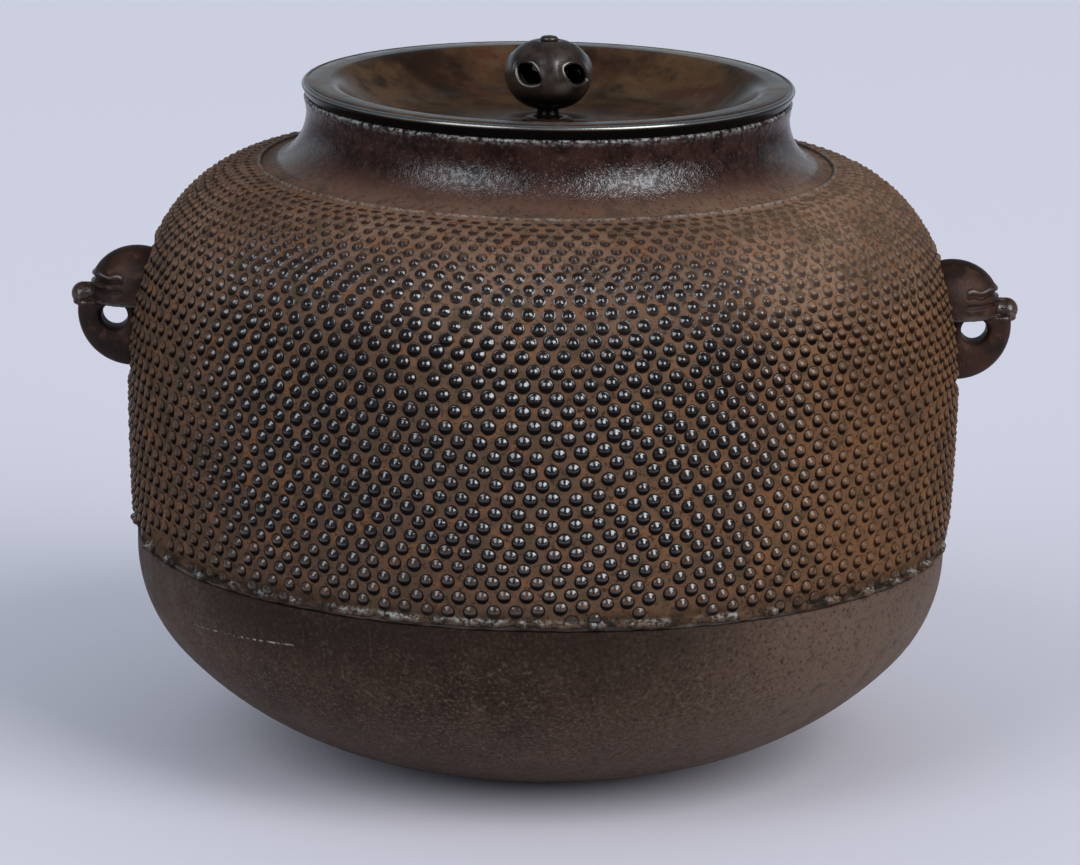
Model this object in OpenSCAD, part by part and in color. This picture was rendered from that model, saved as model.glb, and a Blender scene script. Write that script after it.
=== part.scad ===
// Cast-iron tea kettle with a dished bronze lid, millimetres.
// Z is up. The origin is the middle of the flat on which the kettle stands, and the two lugs lie on X.
// The old casting ends at a waist seam, where a newer bottom is let in from below and sealed with lacquer.

/* [Body] */
// Greatest radius of the body, measured over the hailstone relief
belly_r = 129.5; // [118:0.5:142]
// Height of the greatest radius
belly_z = 124; // [112:1:136]
// How much narrower the skirt is at its lower edge
skirt_draw = 1.9; // [0.5:0.1:6]
// Height of the waist seam, where the skirt ends
seam_z = 69.3; // [62:0.1:80]
// Wall of the old casting
wall = 4; // [3:0.1:6]
// Half width and height of the raised line between shoulder and neck
ring_bead = 0.7; // [0.4:0.1:1.2]

/* [Hailstones] */
// Hailstones in one row round the body, an even number
hail_count = 110; // [80:2:110]
// Rows of hailstones from the skirt up to the raised line
hail_rows = 25; // [12:1:25]
// Height of the hailstones over the plain wall that carries them
hail_h = 1.25; // [0.8:0.05:1.4]
// Their height where the relief runs out at the raised line
hail_end_h = 0.5; // [0.3:0.05:0.7]
// Way along the wall from the waist seam to the lowest row
hail_from = 6; // [5:0.1:10]
// Way along the wall from the highest row to the raised line
hail_to = 9; // [8:0.1:20]

/* [Neck] */
// Height of the mouth, where the lid rests
mouth_z = 206; // [196:0.5:220]
// Smallest radius of the neck, just under the lip
neck_r = 74.6; // [68:0.1:82]
// Height of the hollow curve from the raised line to the neck's narrowest place
neck_h = 16.5; // [12:0.5:20]
// How far that curve spreads from the neck to the raised line
neck_spread = 14.4; // [10:0.1:18]
// Height of the lip above the neck's narrowest place
lip_h = 5; // [3:0.5:8]
// How far the lip stands out from the neck
lip_flare = 0.8; // [0.2:0.1:2]
// Rounding of the lip's outer edge
lip_round = 0.9; // [0.4:0.1:1.5]

/* [Bottom] */
// Wall of the newer bottom
floor_t = 3.5; // [2.5:0.1:5]
// Radius of the flat on which the kettle stands
base_r = 33; // [25:1:45]
// How far the bottom stands in from the skirt
bowl_step = 1.6; // [1.4:0.1:2.5]
// Radius of the curve in section where side turns into floor
bowl_side_curve = 44; // [30:1:55]
// Upright stretch between that curve and the seam
bowl_straight = 3.3; // [1:0.1:6]
// Height of the rim that stands inside the skirt
lap_h = 14; // [8:1:24]
// Lacquer between skirt and bottom
seal_t = 0.8; // [0.4:0.1:1.5]

/* [Singing plates] */
// Number of iron plates on the inside floor
plate_count = 6; // [3:1:8]
// Distance of a plate's middle from the axis
plate_ring_r = 52; // [46:1:70]
// Length of a plate across the radius
plate_l = 27; // [18:1:32]
// Width of a plate along the radius
plate_w = 17; // [10:1:22]
// Thickness of a plate
plate_t = 2; // [1:0.1:3]
// Rounding of a plate's corners
plate_round = 4; // [1:0.5:4.5]

/* [Lugs] */
// Radius of the bore that takes a lifting ring
bore_r = 4; // [3:0.1:5]
// Height of the bore above the body's greatest radius
bore_up = 11.2; // [4:0.1:20]
// Metal between the bore and the body
bore_web = 0.6; // [0.4:0.1:2]
// Width of the jaw, which is the length of the bore
jaw_w = 12.5; // [9:0.5:14]
// Radius of the jaw seen from the side
jaw_r = 17.5; // [15:0.1:19]
// Height of the jaw's centre above the bore
jaw_up = 1.6; // [0:0.1:3]
// Distance of the jaw's centre inside the bore's axis
jaw_in = 6; // [4:0.1:7]
// Rounding along the jaw
jaw_round = 3; // [1:0.5:4]
// Radius of the forehead
forehead_r = 13.7; // [12.5:0.1:15]
// Height of the forehead's centre above the bore
forehead_up = 7.6; // [7:0.1:9]
// Distance of the forehead's centre inside the bore's axis
forehead_in = 6; // [5:0.1:7]
// Height of the brow above the forehead's centre
brow_up = 5.2; // [4:0.1:6]
// Radius of the brow's round section
brow_r = 1.1; // [0.8:0.1:1.5]
// Radius of the muzzle
muzzle_r = 7.2; // [6.8:0.1:8.5]
// Reach of the muzzle past the bore's axis, before it tapers to the nose
muzzle_out = 5; // [4:0.1:7]
// Length of the taper from muzzle to nose
snout_l = 4.9; // [3.5:0.1:6]
// Radius of the tip of the nose
nose_r = 3.8; // [3:0.1:4.5]
// Radius of each nostril
nostril_r = 2.8; // [2:0.1:3.2]
// Radius of each eye
eye_r = 2.3; // [1.8:0.1:3]
// Thickness of the upper lip, and how far it stands out from the muzzle
lip_t = 1.3; // [1:0.1:2]
// Clear height between the bore and the upper lip
lip_clear = 0.15; // [0.1:0.05:0.5]

/* [Lid] */
// How far the lid stands out over the lip
lid_over = 0.7; // [0:0.1:3]
// Thickness of the lid's rim
rim_t = 4.2; // [3.5:0.1:6]
// Depth of the dish below the rim
dish_depth = 11.8; // [9:0.1:14]
// Width of the hollow curve between the dish's floor and its edge
cove_w = 21; // [12:0.5:30]
// Rounding between rim and dish
dish_round = 3; // [1:0.1:4]
// Wall of the dish
lid_t = 2.6; // [2:0.1:3.5]
// Rounding of the rim's outer edges
rim_round = 0.8; // [0.4:0.1:1.5]
// Distance of the turned line from the rim's edge
line_in = 1.8; // [1.6:0.1:4]
// Depth of the turned line
line_depth = 0.35; // [0.2:0.05:0.6]
// Height of the ring that locates the lid in the mouth
locator_h = 6; // [3:0.5:8]
// Wall of the locating ring
locator_t = 2; // [1.5:0.1:3]
// Room between the locating ring and the outside of the dish
locator_room = 2.3; // [1:0.1:4]
// Play between the locating ring and the mouth
lid_play = 0.5; // [0.3:0.1:0.9]

/* [Knob] */
// Radius of the hollow knob at its equator
knob_r = 13.3; // [12.5:0.1:16]
// Height of the hollow knob
knob_h = 21.2; // [18:0.1:23]
// Wall of the hollow knob
knob_wall = 2.2; // [1.5:0.1:3]
// Number of holes through the knob's wall
hole_count = 5; // [3:1:6]
// Radius of each hole
hole_r = 3.9; // [3:0.1:4.4]
// Radius of the rounded lip about each hole
hole_lip = 0.9; // [0.6:0.1:1.2]
// Tilt of the holes above level
hole_tilt = 10; // [0:1:14]
// Turn of the first hole from the front
hole_turn = -30; // [-36:1:36]
// Radius of the stem's shank
shank_r = 2; // [1.5:0.1:2.2]
// Play between the shank and what it passes through
shank_play = 0.08; // [0.05:0.01:0.15]
// Radius of the stem's collar under the knob
collar_r = 3.2; // [2.6:0.1:4]
// Radius of the collar's foot on the seat
collar_foot_r = 4.6; // [4.2:0.1:6]
// Height of the collar between seat and knob
collar_h = 2.6; // [2:0.1:5]
// Radius of the riveted head on top
head_r = 2.7; // [2.4:0.1:3.5]
// Height of the riveted head
head_h = 1.4; // [0.8:0.1:2]
// Radius of the peened end under the lid
peen_r = 3.6; // [3:0.1:5]
// Height of the peened end
peen_h = 1.4; // [0.8:0.1:2]
// Radius of the seat on the dish's floor
seat_r = 7.6; // [6.5:0.1:12]
// Thickness of the seat
seat_t = 1.2; // [0.8:0.1:2]
// Radius of the washer under the lid
washer_r = 6.2; // [5.5:0.1:9]
// Thickness of the washer
washer_t = 1.5; // [1:0.1:2.5]

/* [Hidden] */
$fn = 96;

iron = [0.33, 0.24, 0.20];
smooth_iron = [0.29, 0.24, 0.22];
lacquer = [0.12, 0.10, 0.09];
bronze = [0.32, 0.25, 0.15];
dark_bronze = [0.22, 0.17, 0.13];

// Steps along a long curve and along a small rounding
steps = 16;
round_steps = 6;
// Overrun of a cutting solid past the face that it cuts
over = 1;
// Gap at a curved seat: a lug on the wall that it is cast on, and the seal in the skirt
seat_gap = 0.05;

// Height of the valleys between hailstones over the plain wall, and how far the relief's ends are sunk in it
valley_up = 0.25;
end_sunk = 0.35;
// Steps up the inner side of the relief
back_rows = 8;
// Plain seat for a lug: its depth under the tops of the hailstones and its margin past the lug
lug_pad = 0.06;
lug_margin = 1.5;

// Levels and radii of the old casting
neck_z = mouth_z - lip_h;
ring_z = neck_z - neck_h;
ring_r = neck_r + neck_spread;
lip_r = neck_r + lip_flare;
mouth_in = neck_r - wall;
skirt_r = belly_r - skirt_draw;

// Where the two castings meet
rim_r = skirt_r - wall - seal_t;
rim_top = seam_z + lap_h;
ledge_z = seam_z - seal_t;
bowl_r = skirt_r - bowl_step;
bowl_side_z = ledge_z - bowl_straight;
// Turn of the floor's curve and its radius, so that it runs tangent into the side's curve
floor_turn = 2 * atan((bowl_side_z - bowl_side_curve) / (bowl_r - base_r - bowl_side_curve));
floor_curve = bowl_side_curve + (bowl_r - base_r - bowl_side_curve) / sin(floor_turn);
// Angle below level at which the inside leaves the side's curve for the rim
rim_turn = 12;

// Places on the right lug, from the body's own outline at the height of the bore
bore_z = belly_z + bore_up;
bore_x = body_r(bore_z) + bore_web + bore_r;
forehead_x = bore_x - forehead_in;
forehead_z = bore_z + forehead_up;
brow_z = forehead_z + brow_up;
brow_ring_r = sqrt(forehead_r * forehead_r - brow_up * brow_up) - 0.4 * brow_r;
lip_z = bore_z + bore_r + lip_clear;
snout_x = bore_x + muzzle_out;
nose_x = snout_x + snout_l;

// Levels of the lid and of the knob's stack on it
lid_r = lip_r + lid_over;
lid_top = mouth_z + rim_t;
dish_z = lid_top - dish_depth;
locator_r = mouth_in - lid_play;
dish_out_r = locator_r - locator_t - locator_room;
dish_r = dish_out_r - lid_t;
dish_floor_r = dish_r - cove_w;
shank_hole_r = shank_r + shank_play;
seat_top = dish_z + seat_t;
knob_base = seat_top + collar_h;
knob_mid = knob_base + knob_h / 2;
knob_top = knob_base + knob_h;
knob_level_r = knob_r - knob_h / 2;
washer_top = dish_z - lid_t;
washer_base = washer_top - washer_t;

// Points on an ellipse, from angle t0 to angle t1
function ellipse_points(middle, a, b, t0, t1, n) =
    [for (i = [0:n]) let (t = t0 + (t1 - t0) * i / n) middle + [a * cos(t), b * sin(t)]];
// Points on a circle, from angle t0 to angle t1
function arc_points(middle, r, t0, t1, n) = ellipse_points(middle, r, r, t0, t1, n);
// The same points in the other order
function turned(points) = [for (i = [len(points) - 1:-1:0]) points[i]];
// Radius of the flank, a parabola that is upright at the belly
function flank_r(z) = belly_r - skirt_draw * pow((belly_z - z) / (belly_z - seam_z), 2);
// Radius of the shoulder, a quarter ellipse from the belly up to the raised line
function shoulder_r(z) =
    ring_r + (belly_r - ring_r) * sqrt(1 - pow((z - belly_z) / (ring_z - belly_z), 2));
// Radius of the body between the seam and the raised line
function body_r(z) = z < belly_z ? flank_r(z) : shoulder_r(z);
// Point of the shoulder at the angle t, set in by a depth
function shoulder_point(t, depth) =
    [ring_r + (belly_r - ring_r - depth) * cos(t), belly_z + (ring_z - belly_z - depth) * sin(t)];
// Way along the shoulder from the belly to each degree
shoulder_ways = [
    for (t = 0, s = 0; t <= 90; s = s + norm(shoulder_point(t + 1, 0) - shoulder_point(t, 0)), t = t + 1) [s, t]
];
wall_way = belly_z - seam_z + shoulder_ways[90][0];
// Angle on the shoulder at a way s up the wall from the seam
function shoulder_t(s) = lookup(s - (belly_z - seam_z), shoulder_ways);
// Point of the wall at that way, set in by a depth
function wall_point(s, depth) =
    s < belly_z - seam_z ? [flank_r(seam_z + s) - depth, seam_z + s] : shoulder_point(shoulder_t(s), depth);
// Depth of the plain wall under the tops of the hailstones, less from 60 degrees up to the raised line
function ground_depth(t) = hail_h - (hail_h - hail_end_h) * max(0, t - 60) / 30;
// Flank from z0 to z1, set in by a depth
function flank_points(depth, z0, z1) =
    [for (i = [0:steps]) let (z = z0 + (z1 - z0) * i / steps) [flank_r(z) - depth, z]];
// Shoulder from the belly to the angle t1, set in by a depth
function shoulder_points(depth, t1) =
    ellipse_points([ring_r, belly_z], belly_r - ring_r - depth, ring_z - belly_z - depth, 0, t1, steps);
// Hollow curve of the neck, set in by a depth, from the angle t0 up to upright
function neck_points(depth, t0) =
    ellipse_points([ring_r, neck_z], neck_spread + depth, neck_h + depth, t0, 180, steps);
// Outline of the bottom from the axis to the angle t1 below level on its side, set in by a depth
function bowl_points(depth, t1) =
    concat(
        [[0, depth]],
        arc_points([base_r, floor_curve], floor_curve - depth, -90, floor_turn - 90, steps),
        arc_points(
            [bowl_r - bowl_side_curve, bowl_side_z], bowl_side_curve - depth, floor_turn - 90, -t1, steps
        )
    );

// Hailstone relief: a closed sleeve of four-sided stones in staggered rows, one valley between each two stones.
// Its inner side and both ends lie in the wall, and it is plain where a lug sits.
module hailstones() {
    around = 2 * hail_count;
    inside = hail_count / 2;
    step = (wall_way - hail_to - hail_from) / (hail_rows - 1);
    low_end = hail_from - 0.6 * step;
    high_end = wall_way - hail_to + 0.6 * step;

    // Way up the wall of a row, and whether a point of the wall lies under a lug
    function row_way(k) = k == 0 ? low_end : k > hail_rows ? high_end : hail_from + (k - 1) * step;
    function at_lug(p, a) =
        let (y = abs(p[0] * sin(a)))
        norm([y, p[1] - forehead_z]) < forehead_r + lug_margin
            || (y < jaw_w / 2 + lug_margin && abs(p[1] - bore_z - jaw_up) < jaw_r + lug_margin);
    function hail_depth(m, k, s, a) =
        let (ground = ground_depth(shoulder_t(s)))
        k == 0 || k > hail_rows ? ground + end_sunk
            : at_lug(wall_point(s, 0), a) ? lug_pad
            : (m + k) % 2 == 0 ? 0 : ground - valley_up;
    function turn(p, a) = [p[0] * cos(a), p[0] * sin(a), p[1]];
    outer = [
        for (k = [0:hail_rows + 1], m = [0:around - 1])
            let (s = row_way(k), a = 360 / around * m)
            turn(wall_point(s, hail_depth(m, k, s, a)), a)
    ];
    inner = [
        for (j = [0:back_rows], i = [0:inside - 1])
            let (s = low_end + (high_end - low_end) * j / back_rows, ground = ground_depth(shoulder_t(s)))
            turn(wall_point(s, ground + (wall - ground) / 3), 360 / inside * i)
    ];

    // Number of a point of the outer and of the inner side
    function o(m, k) = k * around + m % around;
    function n(i, j) = len(outer) + j * inside + i % inside;
    stones = [
        for (k = [0:hail_rows], m = [0:around - 1])
            each (m + k) % 2 == 0
                ? [[o(m, k), o(m, k + 1), o(m + 1, k)], [o(m + 1, k + 1), o(m + 1, k), o(m, k + 1)]]
                : [[o(m + 1, k), o(m, k), o(m + 1, k + 1)], [o(m, k + 1), o(m + 1, k + 1), o(m, k)]]
    ];
    back = [
        for (j = [0:back_rows - 1], i = [0:inside - 1])
            each [[n(i, j), n(i + 1, j), n(i, j + 1)], [n(i + 1, j), n(i + 1, j + 1), n(i, j + 1)]]
    ];
    ends = [
        for (i = [0:inside - 1], top = [0, 1])
            let (k = top * (hail_rows + 1), j = top * back_rows, m = 4 * i)
            each [
                for (face = [
                    [n(i, j), o(m, k), o(m + 1, k)],
                    [n(i, j), o(m + 1, k), o(m + 2, k)],
                    [n(i, j), o(m + 2, k), n(i + 1, j)],
                    [n(i + 1, j), o(m + 2, k), o(m + 3, k)],
                    [n(i + 1, j), o(m + 3, k), o(m + 4, k)]
                ]) top == 0 ? face : turned(face)
            ]
    ];
    polyhedron(concat(outer, inner), concat(stones, back, ends));
}

// The old casting: flank, shoulder, raised line, neck and mouth in one wall, with its hailstones
module upper_body() {
    bead_t = acos(ring_bead / (belly_r - ring_r));
    neck_t = 180 + acos(ring_bead / neck_spread);
    color(iron)
    union() {
        rotate_extrude()
        polygon(concat(
            flank_points(hail_h, seam_z, belly_z),
            [for (i = [1:steps]) let (t = bead_t * i / steps) shoulder_point(t, ground_depth(t))],
            arc_points([ring_r, ring_z], ring_bead, 0, 180, round_steps),
            neck_points(0, neck_t),
            arc_points([lip_r - lip_round, mouth_z - lip_round], lip_round, 0, 90, round_steps),
            [[mouth_in, mouth_z]],
            turned(neck_points(wall, 270)),
            turned(shoulder_points(wall, 90)),
            flank_points(wall, belly_z, seam_z)
        ));
        hailstones();
    }
}

// The newer bottom: a bowl with a ledge under the skirt and a rim that stands inside it
module bottom_shell() {
    color(smooth_iron)
    rotate_extrude()
    polygon(concat(
        bowl_points(0, 0),
        [[bowl_r, ledge_z], [rim_r, ledge_z], [rim_r, rim_top]],
        [[rim_r - floor_t, rim_top], [rim_r - floor_t, ledge_z - floor_t]],
        turned(bowl_points(floor_t, rim_turn))
    ));
}

// Lacquer that fills the lap between skirt and rim, and the seam under the skirt
module joint_seal() {
    color(lacquer)
    rotate_extrude()
    polygon(concat(
        [[rim_r, ledge_z], [bowl_r, ledge_z], [bowl_r, seam_z]],
        flank_points(wall + seat_gap, seam_z, rim_top),
        [[rim_r, rim_top]]
    ));
}

module rounded_rectangle(w, l, r) {
    square([w - 2 * r, l], center = true);
    square([w, l - 2 * r], center = true);
    for (x = [-1, 1], y = [-1, 1])
        translate([x * (w / 2 - r), y * (l / 2 - r)]) circle(r);
}

// One iron plate, bent to the inside floor on which it is lacquered
module singing_plate(i) {
    color(iron)
    intersection() {
        rotate_extrude()
        polygon(concat(
            bowl_points(floor_t, rim_turn),
            turned(bowl_points(floor_t + plate_t, rim_turn))
        ));
        rotate(360 / plate_count * i)
        translate([plate_ring_r, 0, 0])
        linear_extrude(bowl_side_z)
        rounded_rectangle(plate_w, plate_l, plate_round);
    }
}

// Disc along Y with a rounded edge
module rounded_disc(r, w, edge) {
    rotate([90, 0, 0])
    rotate_extrude() {
        translate([0, -w / 2]) square([r - edge, w]);
        translate([0, edge - w / 2]) square([r, w - 2 * edge]);
        for (s = [-1, 1])
            translate([r - edge, s * (w / 2 - edge)]) circle(edge);
    }
}

// Lower jaw: the loop that carries the ring, fanned out from the upper lip down to the body
module jaw() {
    intersection() {
        translate([bore_x - jaw_in, 0, bore_z + jaw_up]) rounded_disc(jaw_r, jaw_w, jaw_round);
        translate([0, -jaw_w, 0]) cube([2 * bore_x, 2 * jaw_w, lip_z + lip_t / 2]);
    }
}

// Domed forehead with its brow standing out all round the lower edge
module forehead() {
    translate([forehead_x, 0, 0]) {
        intersection() {
            translate([0, 0, forehead_z]) sphere(forehead_r);
            translate([0, 0, brow_z - 2 * brow_r]) cylinder(r = 2 * forehead_r, h = 2 * forehead_r);
        }
        translate([0, 0, brow_z]) rotate_extrude() translate([brow_ring_r, 0]) circle(brow_r);
    }
}

// Half-round muzzle that tapers to the nose, with a flat upper lip under it
module muzzle() {
    lip_half = muzzle_r + lip_t / 2;
    translate([0, 0, lip_z]) {
        intersection() {
            rotate([0, 90, 0]) {
                cylinder(r = muzzle_r, h = snout_x);
                translate([0, 0, snout_x]) cylinder(r1 = muzzle_r, r2 = nose_r, h = snout_l);
            }
            translate([0, -muzzle_r, 0]) cube([2 * bore_x, 2 * muzzle_r, 2 * muzzle_r]);
        }
        linear_extrude(lip_t) {
            translate([0, -lip_half]) square([nose_x - lip_half, 2 * lip_half]);
            translate([nose_x - lip_half, 0]) circle(lip_half);
        }
    }
}

// Nose with a nostril on each side, and an eye under each end of the brow
module nose_and_eyes() {
    translate([nose_x, 0, lip_z + nose_r / 2]) sphere(nose_r);
    for (side = [-1, 1]) {
        translate([nose_x - nose_r / 3, side * nose_r, lip_z + nostril_r / 3]) sphere(nostril_r);
        translate([snout_x, side * (muzzle_r - eye_r / 2), brow_z - brow_r - eye_r / 2]) sphere(eye_r);
    }
}

// Room that the body takes out of a lug's root
module lug_seat() {
    rotate_extrude()
    polygon(concat(
        [[0, seam_z]],
        flank_points(-seat_gap, seam_z, belly_z),
        shoulder_points(-seat_gap, 90),
        [[0, ring_z + seat_gap]]
    ));
}

// Beast mask with the mouth bored through from side to side for a lifting ring
module lug() {
    difference() {
        union() {
            jaw();
            forehead();
            muzzle();
            nose_and_eyes();
        }
        translate([bore_x, 0, bore_z])
        rotate([90, 0, 0])
        cylinder(r = bore_r, h = jaw_w + 2 * over, center = true);
        lug_seat();
    }
}

module lug_right() {
    color(iron) lug();
}

module lug_left() {
    color(iron) rotate(180) lug();
}

// Lid: a level rim on the mouth, a dish for the knob and a locating ring under the rim
module lid() {
    dish_rise = dish_depth - dish_round;
    line_r = lid_r - line_in;
    color(bronze)
    rotate_extrude()
    polygon(concat(
        [[shank_hole_r, dish_z]],
        ellipse_points([dish_floor_r, dish_z + dish_rise], cove_w, dish_rise, -90, 0, steps),
        arc_points([dish_r + dish_round, lid_top - dish_round], dish_round, 180, 90, round_steps),
        [[line_r - line_depth, lid_top], [line_r, lid_top - line_depth], [line_r + line_depth, lid_top]],
        arc_points([lid_r - rim_round, lid_top - rim_round], rim_round, 90, 0, round_steps),
        arc_points([lid_r - rim_round, mouth_z + rim_round], rim_round, 0, -90, round_steps),
        [[locator_r, mouth_z], [locator_r, mouth_z - locator_h]],
        [[locator_r - locator_t, mouth_z - locator_h], [locator_r - locator_t, mouth_z]],
        ellipse_points([dish_floor_r, mouth_z], cove_w + lid_t, mouth_z - washer_top, 0, -90, steps),
        [[shank_hole_r, washer_top]]
    ));
}

// Half section of the knob, set in by a depth: a round side and a level top and base
module knob_section(depth) {
    side = knob_h / 2 - depth;
    translate([0, -side]) square([knob_level_r, 2 * side]);
    intersection() {
        translate([knob_level_r, 0]) circle(side);
        translate([0, -side]) square([knob_r, 2 * side]);
    }
}

// Hollow pierced knob, threaded on the stem, with a rounded lip about each hole
module knob() {
    lip_ring_r = hole_r + hole_lip / 2;
    lip_ring_x = sqrt(knob_r * knob_r - lip_ring_r * lip_ring_r) - hole_lip / 3;
    turns = [for (i = [0:hole_count - 1]) hole_turn - 90 + 360 / hole_count * i];
    color(dark_bronze)
    translate([0, 0, knob_mid])
    difference() {
        union() {
            rotate_extrude() knob_section(0);
            for (turn = turns)
                rotate(turn)
                translate([knob_level_r, 0, 0])
                rotate([0, 90 - hole_tilt, 0])
                translate([0, 0, lip_ring_x - knob_level_r])
                rotate_extrude() translate([lip_ring_r, 0]) circle(hole_lip, $fn = 32);
        }
        rotate_extrude() knob_section(knob_wall);
        cylinder(r = shank_hole_r, h = knob_h + over, center = true);
        for (turn = turns)
            rotate(turn)
            translate([knob_level_r, 0, 0])
            rotate([0, 90 - hole_tilt, 0])
            cylinder(r = hole_r, h = knob_r);
    }
}

// Stem: head, shank through the knob, collar, shank through seat, lid and washer, peened end
module knob_stem() {
    foot_w = collar_foot_r - collar_r;
    color(dark_bronze)
    rotate_extrude()
    polygon(concat(
        [[0, washer_base - peen_h], [peen_r - peen_h / 2, washer_base - peen_h]],
        [[peen_r, washer_base], [shank_r, washer_base], [shank_r, seat_top]],
        ellipse_points([collar_foot_r, knob_base], foot_w, collar_h, 270, 180, round_steps),
        [[shank_r, knob_base], [shank_r, knob_top], [head_r, knob_top]],
        ellipse_points([0, knob_top + head_h / 2], head_r, head_h / 2, 0, 90, round_steps)
    ));
}

// Seat between the stem's collar and the floor of the dish
module knob_seat() {
    color(bronze)
    rotate_extrude()
    polygon([
        [shank_hole_r, dish_z],
        [seat_r, dish_z],
        [seat_r, dish_z + seat_t / 2],
        [seat_r - seat_t, seat_top],
        [shank_hole_r, seat_top]
    ]);
}

// Washer against which the stem is peened under the lid
module stem_washer() {
    color(bronze)
    translate([0, 0, washer_base])
    difference() {
        cylinder(r = washer_r, h = washer_t);
        translate([0, 0, -over]) cylinder(r = shank_hole_r, h = washer_t + 2 * over);
    }
}

upper_body();
bottom_shell();
joint_seal();
lug_left();
lug_right();
for (i = [1:plate_count])
    singing_plate(i);
lid();
knob();
knob_stem();
knob_seat();
stem_washer();
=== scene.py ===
"""Cast-iron tea kettle with hailstone relief and a dished bronze lid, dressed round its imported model."""

import bmesh
import bpy
import numpy as np
from mathutils import Matrix, Vector


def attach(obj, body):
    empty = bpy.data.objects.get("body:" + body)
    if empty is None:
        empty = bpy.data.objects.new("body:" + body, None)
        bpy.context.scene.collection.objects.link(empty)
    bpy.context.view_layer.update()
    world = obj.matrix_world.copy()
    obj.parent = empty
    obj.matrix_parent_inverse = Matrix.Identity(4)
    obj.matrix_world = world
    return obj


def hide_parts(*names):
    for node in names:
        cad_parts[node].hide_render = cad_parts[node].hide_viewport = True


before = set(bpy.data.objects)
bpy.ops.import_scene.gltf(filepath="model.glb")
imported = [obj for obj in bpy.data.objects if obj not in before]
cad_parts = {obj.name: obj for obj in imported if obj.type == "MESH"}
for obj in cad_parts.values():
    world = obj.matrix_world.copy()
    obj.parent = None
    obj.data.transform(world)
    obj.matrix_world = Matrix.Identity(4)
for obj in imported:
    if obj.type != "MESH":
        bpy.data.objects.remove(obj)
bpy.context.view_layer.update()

# The newer bottom: a smooth bowl of cast iron, let in from below when the old bottom was lost.
# It was cast in a turned mould, so it is round, with a rim that stands up inside the old skirt.
bowl_r, bowl_side_z, ledge_z = 126.0, 65.2, 68.5
base_r, floor_curve, side_curve, floor_turn = 33.0, 111.19, 44.0, np.radians(46.82)
bowl_wall, rim_r, rim_top = 3.5, 122.8, 83.3


def arc(middle, across, up, start, end, count):
    """Points (radius, height) on an ellipse: middle + (across cos t, up sin t) for t from start to end in degrees."""
    t = np.radians(np.linspace(start, end, count))
    return np.stack([middle[0] + across * np.cos(t), middle[1] + up * np.sin(t)], -1)


def spin(section, turns):
    """A section (radius, height) carried round the axis: point = (r sin t, -r cos t, z), t = 0 at the front."""
    t = np.linspace(0, 2 * np.pi, turns, endpoint=False)
    r, z = section[:, None, 0], section[:, None, 1]
    return np.stack([r * np.sin(t), -r * np.cos(t), z + 0 * t], -1)


def weld(mesh, reach=1e-6, outward=False):
    """Merges points of a mesh that lie within reach of each other, in metres; outward also turns its faces out."""
    work = bmesh.new()
    work.from_mesh(mesh)
    bmesh.ops.remove_doubles(work, verts=work.verts, dist=reach)
    if outward:
        bmesh.ops.recalc_face_normals(work, faces=work.faces)
    work.to_mesh(mesh)
    work.free()


def put_in(name, data):
    """A new object of the scene that shows the given mesh, lamp or camera."""
    made = bpy.data.objects.new(name, data)
    bpy.context.scene.collection.objects.link(made)
    return made


def skin(name, grid, closed=False, joined=False):
    """A smooth mesh on a grid of points in millimetres. Columns always close on themselves, rows only when closed.
    Rows run up the outside, so faces point outwards; joined merges the points that meet at a pole."""
    rows = np.arange(grid.shape[0] * grid.shape[1]).reshape(grid.shape[:2])
    rows = np.vstack([rows, rows[:1]]) if closed else rows
    ahead = np.roll(rows, -1, axis=1)
    faces = np.stack([rows[:-1], ahead[:-1], ahead[1:], rows[1:]], -1).reshape(-1, 4)
    mesh = bpy.data.meshes.new(name)
    mesh.from_pydata(grid.reshape(-1, 3) * 0.001, [], faces, shade_flat=False)
    if joined:
        weld(mesh)
    return put_in(name, mesh)


def finish(name, metallic, specular):
    """A new material: the material, its node tree, its shader and the piece's own coordinates in metres."""
    made = bpy.data.materials.new(name)
    made.use_nodes = True
    tree = made.node_tree
    shader = tree.nodes["Principled BSDF"]
    shader.inputs["Metallic"].default_value = metallic
    shader.inputs["Specular IOR Level"].default_value = specular
    return made, tree, shader, tree.nodes.new("ShaderNodeTexCoord").outputs["Object"]


def axes(tree, vector):
    """The X, Y and Z of a vector, each as a socket."""
    node = tree.nodes.new("ShaderNodeSeparateXYZ")
    tree.links.new(vector, node.inputs["Vector"])
    return node.outputs["X"], node.outputs["Y"], node.outputs["Z"]


def noise(tree, place, size_mm, detail=4.0, rough=0.55):
    """Cloudy noise whose patches are about size_mm across."""
    node = tree.nodes.new("ShaderNodeTexNoise")
    node.inputs["Scale"].default_value = 1000.0 / size_mm
    node.inputs["Detail"].default_value = detail
    node.inputs["Roughness"].default_value = rough
    tree.links.new(place, node.inputs["Vector"])
    return node.outputs["Fac"]


def between(tree, value, low, high, first=0.0, last=1.0):
    """Value mapped smoothly from the stretch low..high to first..last."""
    node = tree.nodes.new("ShaderNodeMapRange")
    node.interpolation_type = "SMOOTHSTEP"
    tree.links.new(value, node.inputs["Value"])
    for socket, number in zip(("From Min", "From Max", "To Min", "To Max"), (low, high, first, last)):
        node.inputs[socket].default_value = number
    return node.outputs["Result"]


def blend(tree, share, under, over):
    """Colour over laid on colour under by share; each is a colour or a socket."""
    node = tree.nodes.new("ShaderNodeMix")
    node.data_type = "RGBA"
    tree.links.new(share, node.inputs["Factor"])
    for socket, colour in ((node.inputs[6], under), (node.inputs[7], over)):
        if isinstance(colour, tuple):
            socket.default_value = (*colour, 1)
        else:
            tree.links.new(colour, socket)
    return node.outputs[2]


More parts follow.
